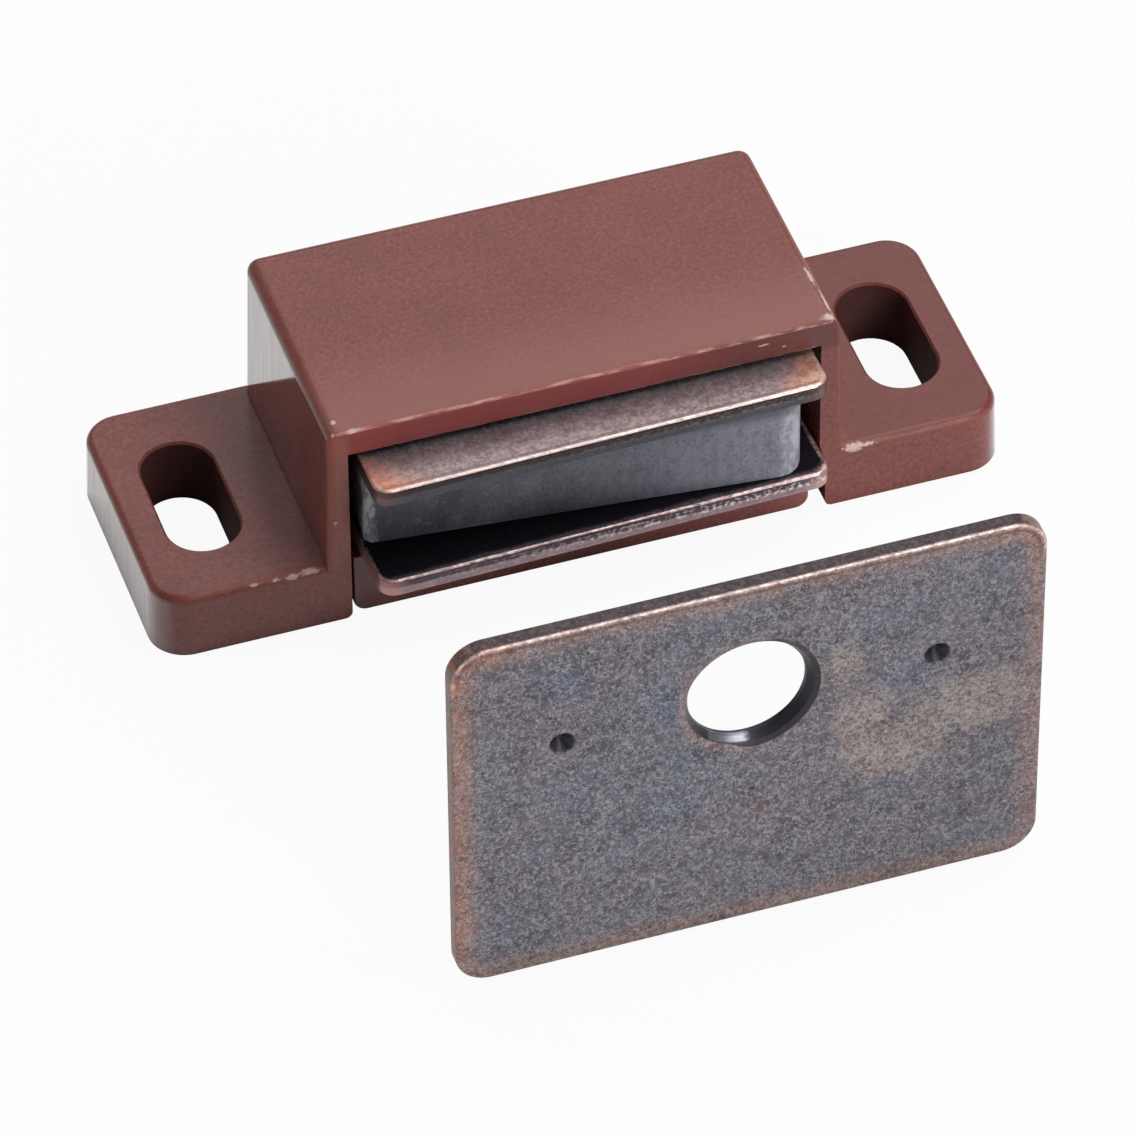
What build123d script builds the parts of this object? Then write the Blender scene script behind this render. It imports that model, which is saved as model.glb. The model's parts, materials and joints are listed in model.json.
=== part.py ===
# Magnetic cabinet catch: a moulded case with two slotted ears, a loose pole pack and a strike plate.
# Millimetres. The origin is midway between the two screw slots on the mounting face. +X runs along the
# case, -Y is the way the poles face, and +Z leads away from the mounting face.
import os

from build123d import *

# case moulding
overall_length = 58.0
ear_thickness = 4.9
ear_depth = 18.75
ear_corner_radius = 2.5
ear_edge_radius = 0.6
case_height = 16.2
case_width = 35.5  # at the mounting face
draft = 1.9  # degrees, on the sides and the back of the moulding, whose front is upright
roof_thickness = 2.05
side_wall = 1.8  # at the mounting face
back_wall = 1.7
case_corner_radius = 1.4  # the two upright corners at the back
case_edge_radius = 0.9  # round the top, on the sides and the back
front_edge_radius = 0.3  # round the front face, which is nearly sharp
mouth_edge_radius = 0.15  # under the roof's front edge
skirt_corner_radius = 0.5  # lower inside corners beside the base cover

# screw slots in the ears, long way along Y
slot_inset = 5.05  # from the end of each ear in to its slot's middle
slot_width = 4.92
slot_length = 10.4
slot_setback = 9.3  # from the front face back to the slots' middle
slot_rim_bevel = 0.15

# ribs on the side walls inside, which stand in the pole plates' notches
rib_width = 2.0
rib_reach = 1.15
rib_setback = 11.0
rib_sink = 0.4  # their roots run into the wall and the roof

# base cover, a tray that closes the case from below
cover_height = 4.8
cover_recess = 0.35  # it stops short of the mounting face
cover_slit = 0.15  # clearance at the left end and the back
pry_gap = 0.7  # wider gap at the right end, for a blade
cover_floor = 1.5
cover_rim = 1.6
cover_web = 1.2
cover_web_count = 3
cover_corner_radius = 0.9
cover_edge_radius = 0.2
relief_depth = 0.42  # hollow in the right wall beside the pry gap
relief_height = 3.7
relief_slope = 1.8
relief_setback = 6.0
snap_length = 5.0  # a tongue on each end of the cover clicks into a groove in the wall
snap_reach = 0.35
snap_radius = 0.6
snap_clearance = 0.08

# pole pack: two steel plates with a ferrite magnet between them, loose in the case
pack_clearance = 0.1  # between the pack and the cover under it
pack_headroom = 0.4  # between the pack and the roof
pack_side_room = 0.58  # between a plate and each side wall
pack_back_room = 1.9  # between a plate and the back wall
plate_thickness = 1.2
plate_corner_radius = 1.1
plate_edge_radius = 0.25  # rolled over on the punch side
notch_width = 5.0
notch_depth = 1.35
notch_corner_radius = 0.4
magnet_inset = 0.85  # from a plate's side edge in to the magnet's
magnet_depth = 10.5
magnet_corner_radius = 0.7
magnet_worn_radius = 1.75  # its front right corner is ground further back
magnet_edge_bevel = 0.15

# how the loose pack lies: each piece stands out of the mouth, off to one side and a little askew
upper_protrusion = 3.35
upper_shift = -0.1
upper_skew = 1.25
lower_protrusion = 3.9
lower_shift = -0.17
lower_skew = 1.5
magnet_protrusion = 1.85
magnet_shift = -0.15
magnet_skew = -5.6

# strike plate, upright in front of the poles
strike_width = 38.2
strike_height = 28.2
strike_thickness = 1.05
strike_corner_radius = 2.3
strike_edge_radius = 0.2
strike_shift = -0.65
strike_standoff = 33.5  # from its outer face back to the front face of the case
hole_radius = 3.85
sink_radius = 4.3  # the screw head's seat opens out towards this
sink_depth = 0.7
hole_rim_radius = 4.6  # rolled in round the seat by the punch
hole_rim_width = 0.5
hole_rim_depth = 0.22
hole_height = 19.2
prong_spacing = 24.2  # two punched points that bite into the door
prong_height = 18.9
prong_radius = 0.95
prong_reach = 0.9
prong_tip_radius = 0.12
punch_radius = 0.85  # the pit each one leaves in the outer face
punch_depth = 0.65
punch_tip_radius = 0.2

# working allowances
overshoot = 1.0  # cutters run this far past the faces they open
near = 0.01  # slack when edges are picked by where they lie

# places and fitted sizes worked out from the ones above
front_y = -slot_setback
rib_y = front_y + rib_setback
slot_x = overall_length / 2 - slot_inset
wall_x = case_width / 2 - side_wall
cavity_back = front_y + ear_depth - back_wall
cavity_top = case_height - roof_thickness
cover_top = cover_recess + cover_height
snap_z = cover_recess + cover_height / 2
lower_plate_z = cover_top + pack_clearance
magnet_z = lower_plate_z + plate_thickness
upper_plate_z = cavity_top - pack_headroom - plate_thickness
magnet_height = upper_plate_z - magnet_z
plate_width = 2 * (wall_x - pack_side_room)
plate_depth = ear_depth - back_wall - pack_back_room + upper_protrusion
notch_setback = rib_setback + upper_protrusion  # from a plate's front edge back to its notches' middle
magnet_width = plate_width - 2 * magnet_inset


def block(x0, x1, y0, y1, z0, z1):
    # a plain box between two corners
    size = (x1 - x0, y1 - y0, z1 - z0)
    centre = ((x0 + x1) / 2, (y0 + y1) / 2, (z0 + z1) / 2)
    return Pos(*centre) * Box(*size)


def moulded_block(width, height, corner_radius):
    # stands on the mounting face, with its back corners rounded and its front corners square
    outline = Pos(0, front_y) * RectangleRounded(width, 2 * ear_depth, corner_radius)
    body = extrude(outline, amount=height, taper=draft)
    return split(body, Plane.XZ.offset(-front_y), keep=Keep.BOTTOM)


def ear_block():
    # the flat base whose ends are the ears, with their slots
    base = moulded_block(overall_length, ear_thickness, ear_corner_radius)
    front = base.faces().sort_by(Axis.Y)[0]
    base = fillet(front.edges() - front.edges().filter_by(Axis.X), ear_corner_radius)
    base = fillet(base.faces().sort_by(Axis.Z)[-1].edges(), ear_edge_radius)
    for side in (-1, 1):
        slot = Pos(side * slot_x, 0) * Rot(0, 0, 90) * SlotOverall(slot_length, slot_width)
        base -= extrude(Pos(0, 0, -overshoot) * slot, amount=ear_thickness + 2 * overshoot)
    rims = base.faces().sort_by(Axis.Z)[-1].inner_wires()
    return chamfer([edge for rim in rims for edge in rim.edges()], slot_rim_bevel)


def tower():
    # the outer form of the box that stands on the base
    body = moulded_block(case_width, case_height, case_corner_radius)
    top = body.faces().sort_by(Axis.Z)[-1]
    front_top = top.edges().sort_by(Axis.Y)[0]
    body = fillet(top.edges() - [front_top], case_edge_radius)
    front = body.faces().sort_by(Axis.Y)[0]
    bottom = front.edges().sort_by(Axis.Z)[0]
    return fillet(front.edges() - [bottom], front_edge_radius)


def relief_cutter():
    # the hollow in the right wall that lets a blade in beside the cover, with its lower corner rounded
    deep_x = wall_x + relief_depth
    slope_top = relief_height + relief_slope
    corner = CenterArc((deep_x + skirt_corner_radius, skirt_corner_radius), skirt_corner_radius, 180, 90)
    outline = Polyline(
        corner @ 0,
        (deep_x, relief_height),
        (wall_x, slope_top),
        (0, slope_top),
        (0, -overshoot),
        (deep_x + skirt_corner_radius, -overshoot),
        corner @ 1,
    )
    return extrude(Pos(0, front_y) * (Plane.XZ * make_face([corner, outline])), amount=-relief_setback)


def retaining_rib():
    # stands off the right wall, from the cover up to the roof
    inner = wall_x - rib_reach
    root = wall_x + rib_sink
    front = rib_y - rib_width / 2
    return block(inner, root, front, front + rib_width, cover_top, cavity_top + rib_sink)


def snap_tongue(swell):
    # a round-nosed tongue from the cover's right end into the wall, swollen all over to cut its groove
    radius = snap_radius + swell
    reach_y = snap_length / 2 + swell
    nose_x = wall_x + snap_reach - snap_radius
    root_x = wall_x - pry_gap - cover_rim / 2
    nose = Pos(nose_x, rib_y, snap_z) * Rot(90, 0, 0) * Cylinder(radius, 2 * reach_y)
    return nose + block(root_x, nose_x, rib_y - reach_y, rib_y + reach_y, snap_z - radius, snap_z + radius)


def case():
    body = ear_block() + tower()
    body -= block(-wall_x, wall_x, front_y - overshoot, cavity_back, -overshoot, cavity_top)
    skirt = body.edges().filter_by(Axis.Y).filter_by_position(Axis.Z, -near, near)
    body = fillet(skirt.filter_by_position(Axis.X, -wall_x - near, wall_x + near), skirt_corner_radius)
    level = body.edges().filter_by(Axis.X)
    roof_edges = level.filter_by_position(Axis.Z, cavity_top - near, cavity_top + near)
    body = fillet(roof_edges.sort_by(Axis.Y)[0], mouth_edge_radius)
    body -= relief_cutter()
    groove = snap_tongue(snap_clearance)
    body -= groove + mirror(groove, about=Plane.YZ)
    return body + retaining_rib() + mirror(retaining_rib(), about=Plane.YZ)


def base_cover():
    # a floor, a rim all round and webs from front to back, which carry the lower plate
    left = -wall_x + cover_slit
    right = wall_x - pry_gap
    back = cavity_back - cover_slit
    tray = block(left, right, front_y, back, cover_recess, cover_top)
    tray = fillet(tray.edges().filter_by(Axis.Y).group_by(Axis.Z)[0], cover_corner_radius)
    tray = fillet(tray.faces().sort_by(Axis.Z)[0].edges().filter_by(Axis.X), cover_edge_radius)
    well_left = left + cover_rim
    well_right = right - cover_rim
    well_front = front_y + cover_rim
    well_back = back - cover_rim
    well_floor = cover_recess + cover_floor
    tray -= block(well_left, well_right, well_front, well_back, well_floor, cover_top + overshoot)
    cell = (well_right - well_left - cover_web_count * cover_web) / (cover_web_count + 1)
    for n in range(cover_web_count):
        web_left = well_left + cell + n * (cell + cover_web)
        tray += block(web_left, web_left + cover_web, well_front, well_back, well_floor, cover_top)
    return tray + snap_tongue(0) + mirror(snap_tongue(0), about=Plane.YZ)


def pole_plate():
    # flat on z = 0, with the Z axis midway between its notches
    outline = RectangleRounded(plate_width, plate_depth, plate_corner_radius)
    outline = Pos(0, plate_depth / 2 - notch_setback) * outline
    notch = RectangleRounded(2 * notch_depth, notch_width, notch_corner_radius)
    for side in (-1, 1):
        outline -= Pos(side * plate_width / 2, 0) * notch
    plate = extrude(outline, amount=plate_thickness)
    return fillet(plate.faces().sort_by(Axis.Z)[-1].edges(), plate_edge_radius)


def upper_pole_plate():
    place = Pos(upper_shift, front_y - upper_protrusion + notch_setback, upper_plate_z)
    return place * Rot(0, 0, upper_skew) * pole_plate()


def lower_pole_plate():
    place = Pos(lower_shift, front_y - lower_protrusion + notch_setback, lower_plate_z)
    return place * Rot(0, 0, lower_skew) * pole_plate()


def corners(outline):
    # the front right one comes last
    return outline.vertices().sort_by(lambda corner: corner.X - corner.Y)


def magnet():
    outline = Rectangle(magnet_width, magnet_depth)
    outline = fillet(corners(outline)[:-1], magnet_corner_radius)
    outline = fillet(corners(outline)[-1], magnet_worn_radius)
    slab = extrude(outline, amount=magnet_height)
    slab = chamfer(slab.faces().filter_by(Axis.Z).edges(), magnet_edge_bevel)
    place = Pos(magnet_shift, front_y - magnet_protrusion + magnet_depth / 2, magnet_z)
    return place * Rot(0, 0, magnet_skew) * slab


def strike_plate():
    # drawn flat with its outer face up, then stood on its long edge with that face towards -Y
    outline = RectangleRounded(strike_width, strike_height, strike_corner_radius)
    plate = extrude(Pos(0, strike_height / 2) * outline, amount=-strike_thickness)
    plate = fillet(plate.faces().sort_by(Axis.Z)[-1].edges(), strike_edge_radius)
    plate -= Pos(0, hole_height, -strike_thickness / 2) * Cylinder(hole_radius, 2 * strike_thickness)
    plate -= Pos(0, hole_height, -sink_depth / 2) * Cone(hole_radius, sink_radius, sink_depth)
    rim = Cone(hole_rim_radius - hole_rim_width, hole_rim_radius, hole_rim_depth)
    plate -= Pos(0, hole_height, -hole_rim_depth / 2) * rim
    for side in (-1, 1):
        spot = Pos(side * prong_spacing / 2, prong_height)
        prong = Cone(prong_tip_radius, prong_radius, prong_reach)
        plate += spot * Pos(0, 0, -strike_thickness - prong_reach / 2) * prong
        plate -= spot * Pos(0, 0, -punch_depth / 2) * Cone(punch_tip_radius, punch_radius, punch_depth)
    return Pos(strike_shift, front_y - strike_standoff, 0) * Rot(90, 0, 0) * plate


os.makedirs("parts", exist_ok=True)
for make in (case, base_cover, upper_pole_plate, lower_pole_plate, magnet, strike_plate):
    export_step(make(), f"parts/{make.__name__}.step")
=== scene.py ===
import json
from math import cos, radians, sin, tan

import bpy
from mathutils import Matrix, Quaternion, Vector


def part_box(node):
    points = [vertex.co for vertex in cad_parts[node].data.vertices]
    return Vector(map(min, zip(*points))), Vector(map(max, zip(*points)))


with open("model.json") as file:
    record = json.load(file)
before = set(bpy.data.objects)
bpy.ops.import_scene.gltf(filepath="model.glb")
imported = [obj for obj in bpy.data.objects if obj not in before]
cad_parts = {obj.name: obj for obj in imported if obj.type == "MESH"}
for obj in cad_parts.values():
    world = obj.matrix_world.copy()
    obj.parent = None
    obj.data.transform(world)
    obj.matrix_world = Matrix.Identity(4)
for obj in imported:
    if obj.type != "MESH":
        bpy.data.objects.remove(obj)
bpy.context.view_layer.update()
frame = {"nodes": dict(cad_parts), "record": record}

nodes = frame["nodes"]
joints = {joint["name"]: joint for joint in frame["record"]["behaviour"]["joints"]}
mounts = {mount["name"]: mount for mount in frame["record"]["mounts"]}
mmPerMetre = 1000


def boxInMm(name):
    low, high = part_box(name)
    return Vector(low) * mmPerMetre, Vector(high) * mmPerMetre


def tint(red, green, blue):  # a colour as a painter's 0 to 255, turned into light
    def light(part):
        share = part / 255
        return share / 12.92 if share <= 0.04045 else ((share + 0.055) / 1.055) ** 2.4
    return (light(red), light(green), light(blue), 1)


class Wire:  # the output of a node, which can stand in a sum
    def __init__(self, finish, socket):
        self.finish = finish
        self.socket = socket

    def sum(self, operation, first, second=0.0):
        return self.finish.node("ShaderNodeMath", {"operation": operation}, {0: first, 1: second})

    def __add__(self, other):
        return self.sum("ADD", self, other)

    def __sub__(self, other):
        return self.sum("SUBTRACT", self, other)

    def __rsub__(self, other):
        return self.sum("SUBTRACT", other, self)

    def __mul__(self, other):
        return self.sum("MULTIPLY", self, other)

    def __abs__(self):
        return self.sum("ABSOLUTE", self)

    def sway(self, reach):  # a noise, centred on 0
        return (self - 0.5) * reach

    def within(self, ends):  # from 0 to 1 stretched over two other ends
        return self * (ends[1] - ends[0]) + ends[0]

    def least(self, other):
        return self.sum("MINIMUM", self, other)

    def most(self, other):
        return self.sum("MAXIMUM", self, other)

    __radd__ = __add__
    __rmul__ = __mul__


class Finish:  # a material and the nodes behind it
    def __init__(self, name):
        self.material = bpy.data.materials.new(name)
        self.material.use_nodes = True
        self.tree = self.material.node_tree
        self.shader = self.tree.nodes["Principled BSDF"]

    def node(self, kind, settings, sockets, out=0):
        made = self.tree.nodes.new(kind)
        for key, value in settings.items():
            setattr(made, key, value)
        for key, value in sockets.items():
            self.join(made.inputs[key], value)
        return Wire(self, made.outputs[out])

    def join(self, socket, value):
        if isinstance(value, Wire):
            self.tree.links.new(value.socket, socket)
        else:
            socket.default_value = value

    def set(self, sockets):
        for key, value in sockets.items():
            self.join(self.shader.inputs[key], value)

    def place(self):  # where on the piece, in millimetres
        spot = self.node("ShaderNodeTexCoord", {}, {}, "Object")
        return self.node("ShaderNodeVectorMath", {"operation": "SCALE"}, {0: spot, "Scale": mmPerMetre})

    def turned(self, spot, centre, degrees):
        return self.node("ShaderNodeVectorRotate", {"rotation_type": "Z_AXIS"},
                         {"Vector": spot, "Center": centre, "Angle": radians(degrees)})

    def stretched(self, spot, by):
        return self.node("ShaderNodeVectorMath", {"operation": "MULTIPLY"}, {0: spot, 1: by})

    def parts(self, spot):
        return [self.node("ShaderNodeSeparateXYZ", {}, {0: spot}, axis) for axis in "XYZ"]

    def away(self, spot, centre):  # distance from a point
        return self.node("ShaderNodeVectorMath", {"operation": "DISTANCE"}, {0: spot, 1: centre}, "Value")

    def patch(self, spot, centre, reach):  # 0 in the middle of an egg-shaped patch and 1 at its rim
        by = Vector([1 / r for r in reach])
        return self.away(self.stretched(spot, by), Vector([c * b for c, b in zip(centre, by)]))

    def inFrom(self, across, up, half, corner):  # distance in from the outline of a plate with round corners
        beyondAcross = abs(across) - (half[0] - corner)
        beyondUp = abs(up) - (half[1] - corner)
        beyond = self.node("ShaderNodeCombineXYZ", {}, {0: beyondAcross.most(0.0), 1: beyondUp.most(0.0)})
        outside = self.node("ShaderNodeVectorMath", {"operation": "LENGTH"}, {0: beyond}, "Value")
        return corner - outside - beyondAcross.most(beyondUp).least(0.0)

    def cloud(self, spot, look):  # noise whose lumps are about size mm
        if "stretch" in look:
            spot = self.stretched(spot, look["stretch"])
        return self.node("ShaderNodeTexNoise", {}, {
            "Vector": spot,
            "Scale": 1 / look["size"],
            "Detail": look.get("detail", 3.0),
            "Roughness": look.get("crisp", 0.55),
            "Distortion": look.get("swirl", 0.0),
        })

    def mixed(self, first, second, share):
        return first * share + second * (1 - share)

    def ramp(self, value, band, start, end):
        return self.node("ShaderNodeMapRange", {"interpolation_type": "SMOOTHSTEP"},
                         {0: value, 1: band[0], 2: band[1], 3: start, 4: end})

    def rise(self, value, band):  # 0 below the band, 1 above it
        return self.ramp(value, band, 0.0, 1.0)

    def fall(self, value, band):  # 1 below the band, 0 above it
        return self.ramp(value, band, 1.0, 0.0)

    def blend(self, share, first, second):
        return self.node("ShaderNodeMix", {"data_type": "RGBA"}, {0: share, 6: first, 7: second}, 2)

    def lay(self, mask, layer, colour):  # a layer's tone over the colour
        return self.blend(mask * layer["share"], colour, layer["tone"])

    def dents(self, height, depth):  # height 0 to 1, depth in millimetres
        return self.node("ShaderNodeBump", {},
                         {"Height": height, "Strength": 1.0, "Distance": depth / mmPerMetre}, "Normal")

    def wear(self, name):  # puts the material on a piece
        for slot in nodes[name].material_slots:
            slot.material = self.material


# In the looks below, lengths are in millimetres. A band is where a mask begins and ends,
# a share is how strongly it shows, and a sway is how far a noise pushes it about.

caseLow, caseHigh = boxInMm("case")

browns = {
    "plain": tint(130, 69, 63),
    "deep": tint(107, 54, 50),
    "light": tint(150, 96, 88),
    "warm": tint(146, 80, 60),
    "red": tint(128, 56, 48),
    "dark": tint(52, 30, 30),
}

plasticLook = {  # moulded brown plastic
    "mottle": {"size": 4.5, "detail": 4.0},
    "mottled": {"tone": browns["deep"], "band": (0.35, 0.65), "share": 0.35},
    "grain": {"size": 0.28, "detail": 2.0, "crisp": 0.7},
    "darkGrain": {"tone": browns["deep"], "band": (0.5, 0.7), "share": 0.9},
    "paleGrain": {"tone": browns["light"], "band": (0.32, 0.5), "share": 0.35},
    "sheen": {"size": 1.2, "detail": 4.0},
    "roughness": 0.2,
    "roughnessSway": 0.1,
    "ior": 1.45,
    "coatRoughness": 0.07,
    "grainDepth": 0.0012,
    "dentMix": 0.5,  # share of the grain in the dents
}

moulding = {  # where the edges of the case lie
    "bodyHalf": 17.75,  # at the mounting face
    "draft": tan(radians(1.9)),
    "earTop": 4.9,
    "earFrom": (0.03, 0.05),  # this far beside the body it is the ear
    "earSkin": 0.05,  # and lower than this under the ear's top
    "mouthTop": 14.15,
}

caseLook = {
    "skin": (0.1, 0.3),  # how far in the finish of a face runs
    "marks": {"size": 0.3, "detail": 4.0, "crisp": 0.75, "stretch": (1.0, 1.0, 1.6)},
    "along": {"size": 1.6, "detail": 4.0, "crisp": 0.6, "stretch": (1.0, 4.0, 4.0)},
    "streaks": {"size": 0.5, "crisp": 0.6, "stretch": (1.0, 1.0, 0.06)},
    # painted glow along the rounded edges and at the front-left top corner
    "warmEdge": {"tone": browns["warm"], "sway": 0.5, "band": (0.1, 0.8), "share": 0.4, "rough": 0.35},
    "warmCorner": {"centre": Vector((-16.9, caseLow.y, 15.0)), "reach": (2.4, 1.2, 2.4),
                   "sway": 0.8, "band": (0.4, 1.2), "share": 0.5},
    "litFrontOfTop": {"tone": browns["light"], "behind": (0.5, 9.0), "above": (12.0, 14.0), "share": 0.68},
    "lintel": {"tone": tint(156, 71, 70), "above": (moulding["mouthTop"] - 0.5, moulding["mouthTop"]),
               "across": (-2.0, 14.0), "shares": (0.25, 0.75)},
    "lintelShade": {"tone": browns["dark"], "across": (2.0, 14.0), "share": 0.52},
    "shadedRightEar": {"tone": browns["deep"], "across": (17.9, 18.4), "share": 0.6},
    "brinkWearAndHighlight": {"tone": tint(206, 160, 150), "sway": 0.12, "band": (0.12, 0.22), "along": (0.4, 0.6),
              "share": 0.85},  # the worn upper front edge, with a painted highlight along it
    "lipHighlight": {"up": 0.04, "sway": 0.3, "band": (0.04, 0.12), "across": (15.4, 15.8), "along": (0.42, 0.58),
            "share": 0.6},  # a painted highlight along the edge over the mouth
    "knockAndHighlight": {"tone": tint(222, 194, 188), "sway": 2.0, "band": (0.6, 0.95), "share": 0.8, "rough": 0.25},
    "wall": {"tone": browns["red"], "skin": (0.05, 0.12), "below": (0.7, 1.2), "behind": (4.0, 8.0),
             "above": (moulding["earTop"], moulding["earTop"] + 0.6), "share": 0.4},
    "earEnd": {"inward": (0.6, 1.4), "below": (0.1, 0.6), "share": 0.85},
    "litJamb": {"tone": browns["warm"], "across": (-15.9, -15.7), "edge": (-17.6, -16.6), "share": 0.4},
    "slotShade": {"tone": browns["dark"], "inward": (1.2, 1.6), "share": 0.75, "rough": 0.45,
                 "below": (moulding["earTop"] - 0.3, moulding["earTop"] - 0.05)},
    "polish": {"band": (0.3, 0.6), "shares": (0.7, 1.0), "smooth": 0.08},
}

knocks = [  # pale knocks on the case: the middle and the reach of each
    ((-18.7, caseLow.y + 0.1, 4.8), (0.95, 0.35, 0.26)),
    ((-19.9, caseLow.y + 0.1, 4.7), (0.5, 0.3, 0.3)),
    ((-21.0, caseLow.y + 0.1, 4.75), (0.4, 0.25, 0.2)),
    ((-22.4, caseLow.y + 0.1, 4.75), (0.3, 0.2, 0.16)),
    ((18.35, caseLow.y - 0.05, 4.6), (0.85, 0.5, 0.42)),
    ((19.3, caseLow.y - 0.05, 4.6), (0.6, 0.4, 0.18)),
    ((-17.0, caseLow.y + 0.15, caseHigh.z - 0.12), (0.3, 0.25, 0.2)),
    ((-15.6, caseLow.y + 0.1, caseHigh.z - 0.1), (0.75, 0.25, 0.16)),
    ((-16.5, caseLow.y + 1.2, caseHigh.z), (0.2, 0.25, 0.2)),
    ((16.75, caseLow.y + 4.6, caseHigh.z - 0.15), (0.2, 1.1, 0.25)),
    ((16.95, caseLow.y + 2.1, caseHigh.z - 0.2), (0.16, 1.3, 0.25)),
    ((16.6, caseLow.y + 0.5, caseHigh.z - 0.1), (0.7, 0.4, 0.25)),
    ((12.0, caseLow.y, 15.45), (0.45, 0.3, 0.1)),
    ((13.4, caseLow.y, 14.95), (0.14, 0.3, 0.1)),
    ((-16.9, caseLow.y, 8.6), (0.16, 0.3, 0.16)),
]


def edgeOfCase(finish, x, y, z, look):
    # distance in to the nearest outer edge of the body or an ear, down from the top, and in from the sides
    beside = abs(x)
    body = look["bodyHalf"] - z * look["draft"]
    onEar = finish.rise(beside - body, look["earFrom"])
    low = onEar.most(finish.fall(z, (look["earTop"] - look["earSkin"], look["earTop"])))
    side = body - beside + low * (caseHigh.x - body)
    top = caseHigh.z - z - onEar * (caseHigh.z - look["earTop"])
    depth = (y - caseLow.y).least(caseHigh.y - z * look["draft"] - y)
    return side.least(depth).most(side.most(depth).least(top)), top, side.least(depth)


def brownPlastic(name, look):
    finish = Finish(name)
    spot = finish.place()
    mottle, grain, sheen = [finish.cloud(spot, look[key]) for key in ("mottle", "grain", "sheen")]
    mottled, darkGrain, paleGrain = look["mottled"], look["darkGrain"], look["paleGrain"]
    colour = finish.lay(finish.rise(mottle, mottled["band"]), mottled, browns["plain"])
    colour = finish.lay(finish.rise(grain, darkGrain["band"]), darkGrain, colour)
    colour = finish.lay(finish.fall(grain, paleGrain["band"]), paleGrain, colour)
    return finish, spot, colour, grain, sheen


def setPlastic(finish, look, colour, grain, sheen, rough=0.0, coat=0.0):
    sway = look["roughnessSway"]
    finish.set({
        "Base Color": colour,
        "Roughness": sheen.sway(sway) + grain.sway(sway) + rough + look["roughness"],
        "IOR": look["ior"],
        "Coat Weight": coat,
        "Coat Roughness": look["coatRoughness"],
        "Normal": finish.dents(finish.mixed(grain, sheen, look["dentMix"]), look["grainDepth"]),
    })


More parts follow.
